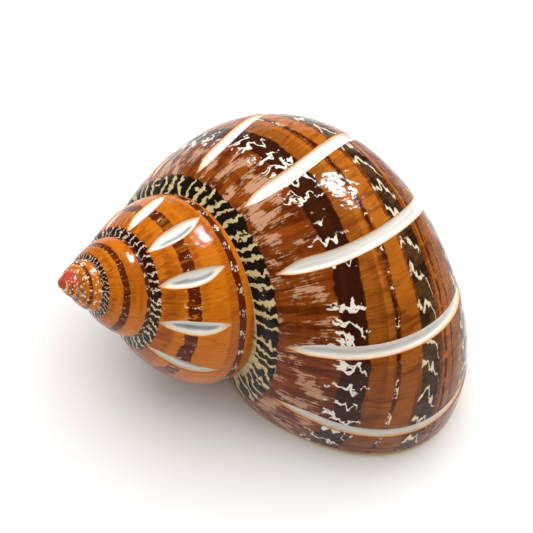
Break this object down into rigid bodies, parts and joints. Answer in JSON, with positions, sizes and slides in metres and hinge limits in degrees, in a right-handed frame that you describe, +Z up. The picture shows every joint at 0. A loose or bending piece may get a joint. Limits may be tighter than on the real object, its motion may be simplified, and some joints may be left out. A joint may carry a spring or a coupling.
{
  "type": "turban shell",
  "caption": "Polished sea snail shell with full whorls, slits carved across them and a round open mouth it lies on.",
  "frame": {"origin": "centre of the bounding box, at the flat rim of the mouth that the shell lies on", "axes": "+Z up from the surface it lies on, -X towards the tip of the spire, -Y towards the outer lip"},
  "size_m": [0.0562, 0.0414, 0.0338],
  "materials": {
    "shell": "polished, with orange-brown bands and white carved slits"
  },
  "bodies": {
    "root": {"shell": "shell"}
  },
  "joints": []
}
